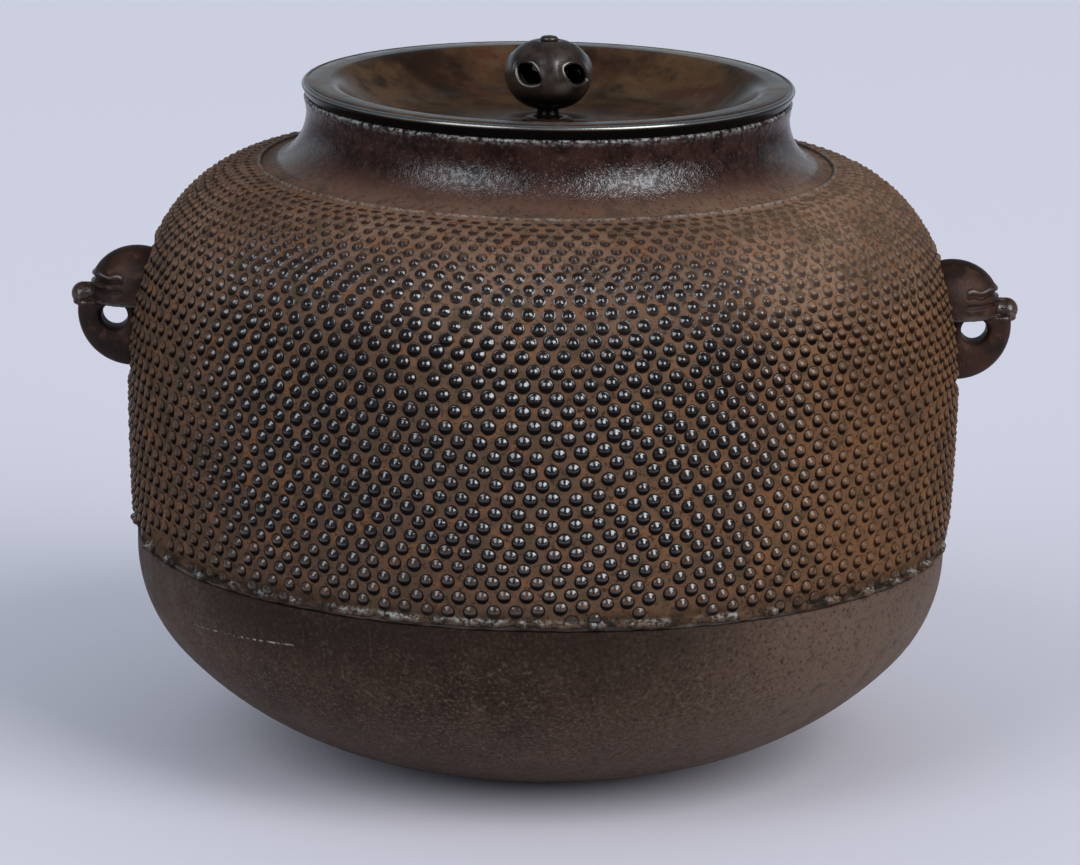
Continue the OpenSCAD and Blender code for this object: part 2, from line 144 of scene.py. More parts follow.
def sums(tree, kind, first, second):
    """Two values put together by a plain operation; each is a number or a socket."""
    node = tree.nodes.new("ShaderNodeMath")
    node.operation = kind
    for socket, value in zip(node.inputs, (first, second)):
        if isinstance(value, (int, float)):
            socket.default_value = value
        else:
            tree.links.new(value, socket)
    return node.outputs[0]


def relief(tree, shader, height, depth_mm):
    """Fine surface relief of about depth_mm from a height value between 0 and 1."""
    node = tree.nodes.new("ShaderNodeBump")
    node.inputs["Strength"].default_value = 1.0
    node.inputs["Distance"].default_value = depth_mm * 0.001
    tree.links.new(height, node.inputs["Height"])
    tree.links.new(node.outputs["Normal"], shader.inputs["Normal"])


side_middle, floor_middle = (bowl_r - side_curve, bowl_side_z), (base_r, floor_curve)
side_in, floor_in = side_curve - bowl_wall, floor_curve - bowl_wall
floor_end = np.degrees(floor_turn) - 90
bowl_section = np.concatenate([
    [[0, 0], [12, 0], [24, 0]],
    arc(floor_middle, floor_curve, floor_curve, -90, floor_end, 26),
    arc(side_middle, side_curve, side_curve, np.degrees(floor_turn) - 88, 0, 22),
    arc((bowl_r - 0.6, ledge_z - 0.6), 0.6, 0.6, 0, 90, 5),
    [[rim_r + 0.1, ledge_z], [rim_r, ledge_z + 0.1], [rim_r, rim_top - 0.3], [rim_r - 0.3, rim_top]],
    [[rim_r - bowl_wall + 0.3, rim_top], [rim_r - bowl_wall, rim_top - 0.3], [rim_r - bowl_wall, 71.0]],
    arc(side_middle, side_in, side_in, -12, floor_end, 16),
    arc(floor_middle, floor_in, floor_in, np.degrees(floor_turn) - 92, -90, 20),
    [[16, bowl_wall], [0, bowl_wall]],
])
bottom_bowl = skin("bottom_bowl", spin(bowl_section, 360), joined=True)

smooth_iron, tree, shader, place = finish("smooth_iron", 0.0, 0.08)
cloud, patch = noise(tree, place, 42), noise(tree, place, 11, 6, 0.65)
speck, grit = noise(tree, place, 1.2, 3, 0.75), noise(tree, place, 0.7, 2, 0.6)
at_x, at_y, at_z = axes(tree, place)
dark_brown, brown, side_lit_brown = (0.030, 0.0165, 0.0108), (0.057, 0.0325, 0.0215), (0.130, 0.084, 0.060)
floor_lit_brown, rust_patch, soot_patch = (0.115, 0.074, 0.056), (0.092, 0.054, 0.037), (0.016, 0.009, 0.007)
pale_speck, dark_speck = (0.130, 0.098, 0.074), (0.007, 0.0045, 0.004)
seam_soot, scratched = (0.0115, 0.0062, 0.0046), (0.24, 0.22, 0.20)
# Painted light: the bowl is painted lighter toward the right and the far left, as if lit by the right lamp and the
# pale room round it.
side_light = sums(tree, "ADD", between(tree, at_x, 0.01, 0.11), between(tree, at_x, -0.07, -0.12, 0, 0.55))
tone = blend(tree, between(tree, cloud, 0.35, 0.65), dark_brown, brown)
tone = blend(tree, side_light, tone, side_lit_brown)
# Painted light: lighter toward the bottom, as if lit from the pale floor.
tone = blend(tree, between(tree, at_z, 0.040, 0.010, 0, 0.45), tone, floor_lit_brown)
tone = blend(tree, between(tree, patch, 0.50, 0.74, 0, 0.8), tone, rust_patch)
tone = blend(tree, between(tree, patch, 0.44, 0.30, 0, 0.6), tone, soot_patch)
tone = blend(tree, between(tree, speck, 0.52, 0.66, 0, 0.65), tone, pale_speck)
tone = blend(tree, between(tree, speck, 0.32, 0.47, 0.75, 0), tone, dark_speck)
# Painted shade and stain: a dark band under the seam, darkest at the top where the skirt overhangs it, and weaker
# where the bowl is painted lit.
seam_shade_and_stain = sums(tree, "MULTIPLY", between(tree, at_z, 0.030, 0.068), between(tree, cloud, 0.25, 0.6, 0.35, 0.85))
seam_shade_and_stain = sums(tree, "MULTIPLY", seam_shade_and_stain, between(tree, side_light, 0, 1, 1, 0.35))
tone = blend(tree, seam_shade_and_stain, tone, seam_soot)
scratch_x, scratch_z, scratch_slope = 0.103, 0.0535, 0.11
slope = sums(tree, "SUBTRACT", at_z, sums(tree, "MULTIPLY", sums(tree, "ADD", at_x, scratch_x), scratch_slope))
scratch = between(tree, sums(tree, "ABSOLUTE", sums(tree, "ADD", slope, -scratch_z), 0), 0.00038, 0.00010)
for along, low, high in ((at_x, -0.107, -0.101), (at_x, -0.070, -0.077), (at_y, 0.0, -0.01)):
    scratch = sums(tree, "MULTIPLY", scratch, between(tree, along, low, high))
scratch = sums(tree, "MULTIPLY", scratch, between(tree, noise(tree, place, 2.4, 3, 0.75), 0.48, 0.60))
tone = blend(tree, scratch, tone, scratched)
tree.links.new(tone, shader.inputs["Base Color"])
tree.links.new(between(tree, patch, 0.3, 0.7, 0.48, 0.66), shader.inputs["Roughness"])
relief(tree, shader, sums(tree, "ADD", grit, sums(tree, "MULTIPLY", patch, 2.0)), 0.10)
bottom_bowl.data.materials.append(smooth_iron)
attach(bottom_bowl, "kettle")
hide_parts("bottom_shell")

# Singing plates: thin iron plates lacquered on the inside floor, so that boiling water hums under them.
# They keep their modelled solids and get the rust of a kettle's inside.
plate_iron, tree, shader, place = finish("plate_iron", 0.0, 0.35)
cloud, grit = noise(tree, place, 9, 5, 0.6), noise(tree, place, 0.9, 3)
tone = blend(tree, between(tree, cloud, 0.38, 0.66), (0.050, 0.026, 0.016), (0.20, 0.085, 0.034))
tree.links.new(tone, shader.inputs["Base Color"])
tree.links.new(between(tree, cloud, 0.3, 0.7, 0.6, 0.85), shader.inputs["Roughness"])
relief(tree, shader, grit, 0.15)
for name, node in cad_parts.items():
    if name.startswith("singing_plate"):
        node.data.materials.clear()
        node.data.materials.append(plate_iron)

# Lacquer seal: lacquer and iron dust that fills the lap between the old skirt and the newer rim.
# It has squeezed out along the seam as a dark uneven bead, which shows where the skirt is broken away.
draws = np.random.default_rng(7)


def uneven(turn, waves, seed_draws):
    """A repeatable uneven value round the kettle, about -1..1: a sum of sines of turn with waves per turn."""
    phase = seed_draws.uniform(0, 2 * np.pi, len(waves))
    size = 1 / np.sqrt(np.arange(1, len(waves) + 1))
    return (size[:, None] * np.sin(np.outer(waves, turn) + phase[:, None])).sum(0) / size.sum() * 1.6


seal_turns, skirt_in = 720, 123.5
turn = np.linspace(0, 2 * np.pi, seal_turns, endpoint=False)
level = 0 * turn
bead_out = 125.75 + 0.45 * uneven(turn, (9, 23, 47, 71, 118), draws)
bead_top = 71.4 + 0.7 * uneven(turn, (7, 19, 53, 97, 131), draws)
seal_r = np.stack([rim_r + level, bead_out - 0.5, bead_out, bead_out - 0.1, bead_out - 0.8,
                   skirt_in + level, skirt_in + level, rim_r + level])
seal_z = np.stack([ledge_z + level, ledge_z + 0.05 + level, ledge_z + 0.6 + level, bead_top - 0.5, bead_top,
                   bead_top + 0.2, rim_top + level, rim_top + level])
seal_grid = np.stack([seal_r * np.sin(turn), -seal_r * np.cos(turn), seal_z], -1)
lacquer_seal = skin("lacquer_seal", seal_grid, closed=True)
lacquer, tree, shader, place = finish("lacquer", 0.0, 0.4)
cloud, grit = noise(tree, place, 5, 5, 0.65), noise(tree, place, 0.8, 3)
tone = blend(tree, between(tree, cloud, 0.40, 0.70), (0.024, 0.016, 0.012), (0.085, 0.058, 0.040))
tree.links.new(tone, shader.inputs["Base Color"])
tree.links.new(between(tree, cloud, 0.3, 0.7, 0.5, 0.8), shader.inputs["Roughness"])
relief(tree, shader, grit, 0.2)
lacquer_seal.data.materials.append(lacquer)
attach(lacquer_seal, "kettle")
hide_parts("joint_seal")

# The old casting: flank, shoulder, raised line, neck and mouth in one wall of cast iron.
# Its lower edge is broken: stubs of a lost flange stand out along the seam, and thin edges are painted pale, partly
# as chips and partly as painted highlight.
belly_r, belly_z, skirt_draw, seam_z, iron_wall = 129.5, 124.0, 1.9, 69.3, 4.0
ring_r, ring_z, ring_bead = 89.0, 184.5, 0.7
neck_spread, neck_h, neck_z = 14.4, 16.5, 201.0
mouth_z, lip_r, lip_round, mouth_in = 206.0, 75.4, 0.9, 70.6
hail_h = 1.25
body_turns = 768


def outline(length):
    """The kettle over its relief, from the seam up: radius, height and lean at a length along the outline.
    Flank: r = belly_r - skirt_draw ((belly_z - z) / (belly_z - seam_z))^2. Shoulder: quarter ellipse to the line."""
    z = np.linspace(seam_z, belly_z, 400)
    flank = np.stack([belly_r - skirt_draw * ((belly_z - z) / (belly_z - seam_z)) ** 2, z], -1)
    shoulder = arc((ring_r, belly_z), belly_r - ring_r, ring_z - belly_z, 0, 90, 900)
    line = np.concatenate([flank, shoulder[1:]])
    step = np.gradient(line, axis=0)
    lean = np.arctan2(-step[:, 0], step[:, 1])
    run = np.concatenate([[0], np.cumsum(np.hypot(*np.diff(line, axis=0).T))])
    return [np.interp(length, run, column) for column in (line[:, 0], line[:, 1], lean)]


def ease(value, low, high):
    """0 below low, 1 above high, and 3t^2 - 2t^3 between."""
    t = np.clip((value - low) / (high - low), 0, 1)
    return t * t * (3 - 2 * t)


def ground_depth(length):
    """How far the ground between the hailstones lies under the outline: less near the raised line."""
    return hail_h - 0.75 * ease(length, 114, 131)


def stubs(turn):
    """How far flange stubs stand out at a turn in degrees: a rounded block at each place, reach times a hat.
    Each place is a turn, half a width in degrees and a reach in millimetres."""
    places = np.array([
        (-71, 1.3, 2.2), (-63, 1.1, 2.0), (-54, 1.3, 2.2), (-47, 1.0, 0.9), (-41, 1.6, 0.7), (-35, 1.0, 1.0),
        (-26.5, 3.4, 1.0), (-19, 3.2, 1.3), (-9.5, 5.2, 0.9), (1.5, 4.6, 0.8), (8, 1.2, 1.1), (14.8, 3.2, 1.0),
        (25.6, 2.0, 1.2), (33, 1.0, 0.8), (44, 1.4, 0.9), (51, 1.2, 1.9), (57.5, 1.2, 2.0), (63, 1.2, 2.0),
        (68, 1.4, 2.1), (78, 2.4, 1.4), (96, 3.2, 1.8), (111, 1.4, 2.0), (127, 4.0, 1.3), (149, 2.2, 2.0),
        (166, 5.0, 1.0), (183, 1.6, 2.0), (201, 4.4, 1.2), (222, 1.8, 2.0), (240, 5.0, 1.1), (258, 1.6, 2.1),
        (272, 2.6, 1.5)], float)
    away = np.abs((turn[:, None] - places[:, 0] + 180) % 360 - 180) / places[:, 1]
    return (places[:, 2] * (1 - ease(away, 0.75, 1.15))).max(1)


def stain(mesh, name, values):
    """A named value for each point of a mesh, which its material reads."""
    mesh.attributes.new(name, "FLOAT", "POINT").data.foreach_set("value", np.ravel(values).astype(np.float32))


turn = np.linspace(0, 2 * np.pi, body_turns, endpoint=False)
level, degrees = 0 * turn, np.degrees(turn)
edge_up = 0.7 + 1.0 * uneven(turn, (5, 13, 31, 67, 103), draws) + 0.25 * uneven(turn, (141, 197, 251), draws)
edge_up = np.clip(edge_up, -0.2, 2.6)
stub = stubs(degrees) * (1 + 0.25 * uneven(turn, (83, 121, 173), draws))
stub = np.clip(stub, 0, 2.75) + 0.25 * np.clip(uneven(turn, (37, 59, 101, 149), draws), 0, 1)
edge_up = edge_up * (1 - 0.8 * np.clip(stub, 0, 1))
crack = (ease(degrees % 360, 302, 304) * (1 - ease(degrees % 360, 313, 316))
         + ease(degrees % 360, 37, 39) * (1 - ease(degrees % 360, 50, 52)))

# Rows from the broken edge up: run along the outline, and how much of the stub and of the crack each row takes
lift = np.array([0.0, 0.35, 0.8, 1.2, 1.6, 2.0, 2.4, 2.8, 3.3, 4.0, 5.0, 6.5])
stub_share = np.array([0.3, 0.75, 0.95, 1.0, 0.95, 0.66, 0.25, 0.06, 0.0, 0.0, 0.0, 0.0])
crack_share = np.array([0.0, 0.0, 0.0, 0.0, 0.1, 0.8, 1.0, 0.6, 0.0, 0.0, 0.0, 0.0])
edge_run, line_run = 6.5, 132.2
low_run = lift[:, None] + edge_up * (1 - lift / edge_run)[:, None]
high_run = np.linspace(edge_run, line_run, 46)[1:, None] + level
run = np.concatenate([low_run, high_run])
over_r, over_z, lean = outline(run)
depth = ground_depth(run)
grow = np.zeros_like(run)
grow[:len(lift)] = stub_share[:, None] * stub - crack_share[:, None] * crack * 0.8
ground_r = over_r - (depth - grow) * np.cos(lean)
ground_z = over_z - depth * np.sin(lean)
under_r = np.stack([123.7 + level, 124.8 + level, ground_r[0] - 0.8])
under_z = np.stack([ground_z[0] - 0.05] * len(under_r))
line_rows, flare_rows, lip_rows = 8, 20, 6
inner = np.concatenate([
    arc((ring_r, neck_z), neck_spread + iron_wall, neck_h + iron_wall, 180, 270, 10),
    arc((ring_r, belly_z), belly_r - ring_r - iron_wall, ring_z - belly_z - iron_wall, 88, 0, 16),
    [[belly_r - skirt_draw * s * s - iron_wall, belly_z - s * (belly_z - seam_z)] for s in (0.25, 0.5, 0.75, 0.9)],
])
mouth = np.concatenate([
    arc((ring_r, ring_z - 0.2), ring_bead, ring_bead + 0.2, 0, 180, line_rows),
    arc((ring_r, neck_z), neck_spread, neck_h, 265, 180, flare_rows),
    [[lip_r - 0.35, neck_z + 2.6]],
    arc((lip_r - lip_round, mouth_z - lip_round), lip_round, lip_round, 0, 90, lip_rows),
    arc((mouth_in + 0.5, mouth_z - 0.5), 0.5, 0.5, 90, 180, 4),
    inner,
])
body_r = np.concatenate([under_r, ground_r, mouth[:, :1] + level])
body_z = np.concatenate([under_z, ground_z, mouth[:, 1:] + level])
body_grid = np.stack([body_r * np.sin(turn), -body_r * np.cos(turn), body_z], -1)
old_casting = skin("old_casting", body_grid, closed=True)

# Where the iron is painted pale, by rows: the stubs' tops, partly chips and partly painted highlight where they catch
# the light; the raised line, chipped; the lip, a painted highlight; then what counts as neck
stub_row, line_row = len(under_r), len(under_r) + len(run)
lip_row = line_row + line_rows + flare_rows
stub_chips_and_glint = np.array([0.0, 0.1, 0.25, 0.2, 0.5, 1.0, 0.9, 0.2])
lip_glint = np.array([0.0, 0.35, 0.9, 1.0, 0.8, 0.4])
chipped_and_glint = np.zeros(body_r.shape)
chipped_and_glint[stub_row:stub_row + len(stub_chips_and_glint)] = np.clip(stub / 1.2, 0, 1) * stub_chips_and_glint[:, None]
chipped_and_glint[line_row + 1:line_row + 6] = 0.40
chipped_and_glint[lip_row:lip_row + len(lip_glint)] = lip_glint[:, None]
on_neck = np.zeros(body_r.shape)
on_neck[line_row:] = ease(mouth[:, 1:], ring_z - 3.0, ring_z + 6.0)
on_neck[-len(inner):] = 1
stain(old_casting.data, "neck", on_neck)
stain(old_casting.data, "chip_and_glint", chipped_and_glint)

relief_iron, tree, shader, place = finish("relief_iron", 0.0, 0.5)
shader.inputs["IOR"].default_value = 1.9
shader.inputs["Specular Tint"].default_value = (0.86, 0.93, 1.0, 1)
marks = [tree.nodes.new("ShaderNodeAttribute") for _ in range(5)]
for mark, name in zip(marks, ("nub", "wear_and_shade", "shine", "chip_and_glint", "neck")):
    mark.attribute_name = name
nub, wear_and_shade, shine, chip_and_glint, neck = (mark.outputs["Fac"] for mark in marks)
at_x, _, height = axes(tree, place)
cloud, patch = noise(tree, place, 38), noise(tree, place, 7, 5, 0.65)
grain, grit = noise(tree, place, 1.5, 4, 0.65), noise(tree, place, 0.6, 2)

# Rust of the ground, with painted light: lighter and redder to the right as if lit by the right lamp, and paler on
# the up-facing shoulder as if lit from above; with red and olive patches and dark pits
rust_left_in_shade, rust_right_in_light = (0.084, 0.049, 0.032), (0.128, 0.064, 0.032)
shoulder_lit_left, shoulder_lit_right = (0.175, 0.105, 0.074), (0.235, 0.145, 0.100)
dark_cloud, red_patch, olive_patch = (0.070, 0.038, 0.025), (0.150, 0.068, 0.033), (0.052, 0.038, 0.021)
pits = (0.026, 0.015, 0.010)
rust_and_light = blend(tree, between(tree, at_x, -0.02, 0.10), rust_left_in_shade, rust_right_in_light)
lit_upper = blend(tree, between(tree, at_x, 0.0, 0.08), shoulder_lit_left, shoulder_lit_right)
rust_and_light = blend(tree, between(tree, height, 0.138, 0.176, 0, 0.75), rust_and_light, lit_upper)
rust_and_light = blend(tree, between(tree, cloud, 0.62, 0.36, 0, 0.55), rust_and_light, dark_cloud)
rust_and_light = blend(tree, between(tree, patch, 0.51, 0.65, 0, 0.75), rust_and_light, red_patch)
rust_and_light = blend(tree, between(tree, patch, 0.48, 0.36, 0, 0.65), rust_and_light, olive_patch)
rust_and_light = blend(tree, between(tree, grain, 0.49, 0.33, 0, 0.85), rust_and_light, pits)

# Hailstones: handled tops are rubbed to dark iron, and the unders are painted shade, lighter on the right as if lit
# from there and paler high on the shoulder
polished, polished_shaded_under = (0.0095, 0.0066, 0.0064), (0.0045, 0.0028, 0.0026)
left_shaded_under, right_shaded_under = (0.0060, 0.0034, 0.0026), (0.017, 0.0078, 0.0042)
left_high_shaded_under, right_high_shaded_under = (0.028, 0.015, 0.011), (0.080, 0.049, 0.034)
tops = blend(tree, between(tree, shine, 0.36, 0.92), rust_and_light, polished)
shaded_unders = blend(tree, between(tree, at_x, 0.05, 0.11), left_shaded_under, right_shaded_under)
high_shaded_unders = blend(tree, between(tree, at_x, 0.02, 0.09), left_high_shaded_under, right_high_shaded_under)
shaded_unders = blend(tree, between(tree, shine, 0.05, 0.40), shaded_unders, polished_shaded_under)
shaded_unders = blend(tree, between(tree, height, 0.150, 0.178), shaded_unders, high_shaded_unders)
polish_and_shade = blend(tree, between(tree, wear_and_shade, 0.36, 0.78), shaded_unders, tops)
cap = sums(tree, "SUBTRACT", nub, sums(tree, "MULTIPLY", sums(tree, "SUBTRACT", 1.0, shine), 0.16))
tone = blend(tree, between(tree, cap, 0.0, 0.24), rust_and_light, polish_and_shade)

# Neck: dark red-brown, painted paler toward the up-facing flare as if lit from above; then soot by the seam, and the
# pale marks, partly chips and partly painted highlight
dark_neck, red_neck, neck_speck = (0.0125, 0.0056, 0.0046), (0.032, 0.0148, 0.0115), (0.075, 0.045, 0.038)
lit_flare, seam_soot, chip_and_glint_grey = (0.105, 0.054, 0.040), (0.020, 0.014, 0.010), (0.25, 0.255, 0.25)
neck_tone = blend(tree, between(tree, patch, 0.35, 0.65), dark_neck, red_neck)
neck_tone = blend(tree, between(tree, grain, 0.55, 0.70, 0, 0.5), neck_tone, neck_speck)
neck_tone = blend(tree, between(tree, height, 0.196, 0.185, 0, 0.5), neck_tone, lit_flare)
tone = blend(tree, neck, tone, neck_tone)
near_seam = sums(tree, "MULTIPLY", between(tree, height, 0.0775, 0.0715), between(tree, patch, 0.36, 0.60))
tone = blend(tree, near_seam, tone, seam_soot)
pale_chip_and_glint = sums(tree, "MULTIPLY", chip_and_glint, between(tree, grain, 0.42, 0.64))
tone = blend(tree, pale_chip_and_glint, tone, chip_and_glint_grey)
tree.links.new(tone, shader.inputs["Base Color"])

# Gloss: rubbed tops shine, the shoulder less, and the neck's flare in broken patches
smooth = between(tree, height, 0.1844, 0.1866)
rubbed = sums(tree, "ADD", wear_and_shade, between(tree, height, 0.145, 0.172, 0, 0.45))
gloss = between(tree, rubbed, 0.34, 0.75, 0.02, 0.60)
gloss = sums(tree, "MULTIPLY", gloss, between(tree, shine, 0.15, 0.9, 0.10, 1))
gloss = sums(tree, "MULTIPLY", gloss, between(tree, height, 0.166, 0.181, 1, 0.2))
broken = between(tree, grain, 0.42, 0.60, 0.35, 1.35)
on_flare = sums(tree, "MULTIPLY", between(tree, height, 0.2010, 0.1935, 0.05, 0.30), broken)
gloss = sums(tree, "MAXIMUM", gloss, sums(tree, "MULTIPLY", smooth, on_flare))
tree.links.new(gloss, shader.inputs["Specular IOR Level"])
rough = between(tree, rubbed, 0.15, 0.75, 0.78, 0.13)
rough = sums(tree, "MINIMUM", rough, between(tree, smooth, 0, 1, 0.9, 0.12))
rough = sums(tree, "ADD", rough, between(tree, grain, 0.3, 0.7, -0.04, 0.06))
tree.links.new(rough, shader.inputs["Roughness"])
rugged = sums(tree, "ADD", between(tree, nub, 0.1, 0.6, 1.7, 0.20), between(tree, smooth, 0, 1, 0, -1.55))
rugged = sums(tree, "MULTIPLY", grain, rugged)
gritty = sums(tree, "MULTIPLY", grit, between(tree, smooth, 0, 1, 0.45, 1.05))
relief(tree, shader, sums(tree, "ADD", gritty, rugged), 0.16)
old_casting.data.materials.append(relief_iron)
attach(old_casting, "kettle")
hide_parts("upper_body")

# Hailstone relief: rows of round nubs, pressed one by one into the clay mould, so they stand proud of the iron.
# The rows stagger, wander a little, and climb to the right of the front; by the broken edge they are worn away.
hail_across, hail_row, hail_row_top, closer_row = 122, 4.295, 3.56, 23
nub_r, nub_h, flank_run = 2.02, 1.30, 62
rows = np.arange(-4, 33)
row_run = 0.8 + hail_row * np.minimum(rows, closer_row) + hail_row_top * np.maximum(rows - closer_row, 0)
column, row = np.meshgrid(np.arange(hail_across), np.arange(len(rows)))
hail_turn = (column + 0.5 * rows[row]) * 360 / hail_across - 0.157 * rows[row] - 10.5
hail_turn = (hail_turn + 180) % 360 - 180
flat_run = row_run[row]
climb = ease(hail_turn, -5, 41) * (1 - ease(hail_turn, 105, 175))
rise = (10.2 * (1 - ease(flat_run, 40, 105)) + 0.9) * climb
rise = rise + 2.0 * ease(-hail_turn, 15, 52) * (1 - ease(-hail_turn, 110, 170)) * (1 - ease(flat_run, 80, 110))
wander = 0.35 * np.sin(np.radians(hail_turn * 7) + rows[row] * 0.55)
wander = wander + 0.25 * np.sin(np.radians(hail_turn * 13) + rows[row])
draws = np.random.default_rng(11)
hail_run = flat_run + rise + wander + draws.normal(0, 0.14, row.shape)
hail_turn = hail_turn + draws.normal(0, 0.075, row.shape) + 0.25 * np.sin(np.radians(hail_turn * 5) + rows[row] * 0.8)
edge_here = np.interp(hail_turn % 360, degrees, edge_up, period=360)
above = hail_run - edge_here
size = (1 - 0.28 * ease(hail_run, 84, 129)) * draws.normal(1, 0.045, row.shape)
tall = draws.normal(1, 0.06, row.shape) * (0.45 + 0.55 * ease(above, 2.0, 9.0))
tall = tall * (1 - 0.35 * ease(draws.random(row.shape), 0.93, 1.0))
spot_z = outline(hail_run)[1]
by_lug = (np.abs(np.abs(hail_turn) - 90) < 7.2) & (spot_z > 119) & (spot_z < 158)
keep = (above > 1.9) & (hail_run < 133.0) & ~by_lug & ~((above < 6) & (draws.random(row.shape) < 0.18))
hail_turn, hail_run, size, tall = hail_turn[keep], hail_run[keep], size[keep], tall[keep]


def hailstones(name, chosen):
    """Nubs on the chosen places: each is a low dome of rings, point = foot + a across + b along + h outward,
    with a, b on a ring of radius q and h the dome's height there, ending in a fillet just under the ground."""
    q = np.array([2.45, 1.98, 1.45, 0.66, 0.0]) / nub_r
    h = np.array([-0.03, 0.13, 0.66, 1.10, 1.30]) / nub_h
    sides = np.linspace(0, 2 * np.pi, 12, endpoint=False)
    r, z, lean = outline(hail_run[chosen])
    deep = ground_depth(hail_run[chosen])
    t = np.radians(hail_turn[chosen])
    out = np.stack([np.sin(t) * np.cos(lean), -np.cos(t) * np.cos(lean), np.sin(lean)], -1)
    along = np.stack([-np.sin(t) * np.sin(lean), np.cos(t) * np.sin(lean), np.cos(lean)], -1)
    across = np.stack([np.cos(t), np.sin(t), 0 * t], -1)
    foot = np.stack([np.sin(t) * r, -np.cos(t) * r, z], -1) - deep[:, None] * out
    wide = nub_r * size[chosen][:, None, None] * q[:, None]
    high = np.minimum(1.23 * tall[chosen], 1) * deep
    nubs = (foot[:, None, None] + (wide * np.cos(sides))[..., None] * across[:, None, None]
            + (wide * np.sin(sides))[..., None] * along[:, None, None]
            + (high[:, None] * h)[..., None, None] * out[:, None, None])
    count, rings, around = nubs.shape[:3]
    one = np.arange(rings * around).reshape(rings, around)
    next_one = np.roll(one, -1, axis=1)
    quads = np.stack([one[:-1], next_one[:-1], next_one[1:], one[1:]], -1).reshape(-1, 4)
    faces = (quads[None] + np.arange(count)[:, None, None] * rings * around).reshape(-1, 4)
    mesh = bpy.data.meshes.new(name)
    mesh.from_pydata(nubs.reshape(-1, 3) * 0.001, [], faces, shade_flat=False)
    tops = np.array([0.0, 0.35, 0.8, 1.0, 1.0])[:, None]
    stain(mesh, "nub", np.broadcast_to(tops, (count, rings, around)))
    # The top of each stone is marked as rubbed, and its underside as painted shade.
    wiped_top_shaded_under = np.clip(0.66 + 0.72 * q[:, None] * np.sin(sides), 0, 1) * np.array([0.0, 0.42, 0.95, 1.0, 1.0])[:, None]
    stain(mesh, "wear_and_shade", np.broadcast_to(wiped_top_shaded_under, (count, rings, around)))
    facing = (hail_turn[chosen] + 90) % 180 - 90
    fading = np.where(facing > 0, ease(facing, 16, 58), ease(-facing, 34, 76))
    handled = (0.62 + 0.38 * ease(z, 72, 104)) * (1 - 0.6 * ease(z, 168, 186)) * (1 - fading)
    handled = handled * draws.uniform(0.75, 1.0, count)
    stain(mesh, "shine", np.repeat(handled, rings * around))
    weld(mesh, 1e-7)
    piece = put_in(name, mesh)
    piece.data.materials.append(relief_iron)
    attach(piece, "kettle")


hailstones("hailstones_flank", hail_run < flank_run)
hailstones("hailstones_shoulder", hail_run >= flank_run)

# Beast-mask lugs: a domed forehead over a heavy brow, eyes, muzzle, nose and upper lip, and a jaw that is a loop.
# They were cast on with the body; lifting rings have polished the loop. The hollows are painted darker as shade, and
# the upward faces of the brow and lip ridges carry a painted highlight.
bore_x, bore_z, bore_r = 133.40, 135.2, 4.0
jaw_x, jaw_z, jaw_r = 127.4, 136.8, 17.5
mask_middle, mask_root = np.array([131.0, 0.0, 143.6]), 2.5
jaw_half, jaw_back_x, jaw_top, oblong = 6.25, 127.2, 5.0, 0.45


def ball(p, middle, radii):
    """Distance to a stretched ball, near enough: (|p / radii| - 1) times the least radius."""
    return (np.linalg.norm((p - middle) / radii, axis=-1) - 1) * np.min(radii)


def soft_join(a, b, width):
    """The lesser of two distances, rounded over a width: min - (max(w - |a - b|, 0))^2 / 4w."""
    return np.minimum(a, b) - np.maximum(width - np.abs(a - b), 0) ** 2 / (4 * width)


def mask_distance(p):
    """Signed distance to the mask, right-hand lug: balls for the forms, softly joined, cut to the wall."""
    x, y, z = p[..., 0], np.abs(p[..., 1]), p[..., 2]
    half = np.stack([x, y, z], -1)
    face = ball(p, (126.6, 0, 143.6), (14.5, 12.8, 13.0))
    wave = np.cos(2 * np.pi * (x - 137.9) / 5.7)
    root = 4 * (1 - ease(x, 128.0, 131.0))
    brow = np.hypot(face + 0.2, z - 148.5 - 0.3 * wave) - 0.75 - 0.15 * wave
    head = soft_join(face, brow + root, 0.35)
    for level, deep in ((147.0 + 0.35 * wave, 0.85), (143.9, 0.8)):
        groove = np.hypot(0.75 * face, z - level) - deep
        head = np.maximum(head, -groove - root)
    bridge = ball(p, (138.4, 0, 142.0), (4.8, 4.6, 2.8))
    nose = ball(p, (143.45, 0, 141.2), (3.6, 4.4, 3.6))
    nose = soft_join(bridge, nose, 0.4)
    head = soft_join(head, nose, 0.3)
    lip_z = 139.3 - 1.3 * ease(x, 137.5, 143.5)
    lip = np.hypot(face + 0.1, z - lip_z - 0.75) - 0.75
    snout = np.hypot(ball(p, (140.2, 0, 139.0), (5.6, 5.2, 5.0)), z - lip_z - 0.7) - 0.7
    head = soft_join(soft_join(head, lip, 0.3), snout, 0.3)
    nostril = ball(half, (145.6, 3.2, 140.6), (1.2, 0.9, 0.8))
    head = np.maximum(head, -nostril)
    head = np.maximum(head, lip_z - z)
    run_at_z = np.interp(z, [seam_z, belly_z, 140, 150, 160, 170], [0, 54.75, 70.8, 81.3, 92.6, 105.4])
    wall_r = outline(run_at_z)[0]
    return np.maximum(head, wall_r - mask_root - np.hypot(x, y))


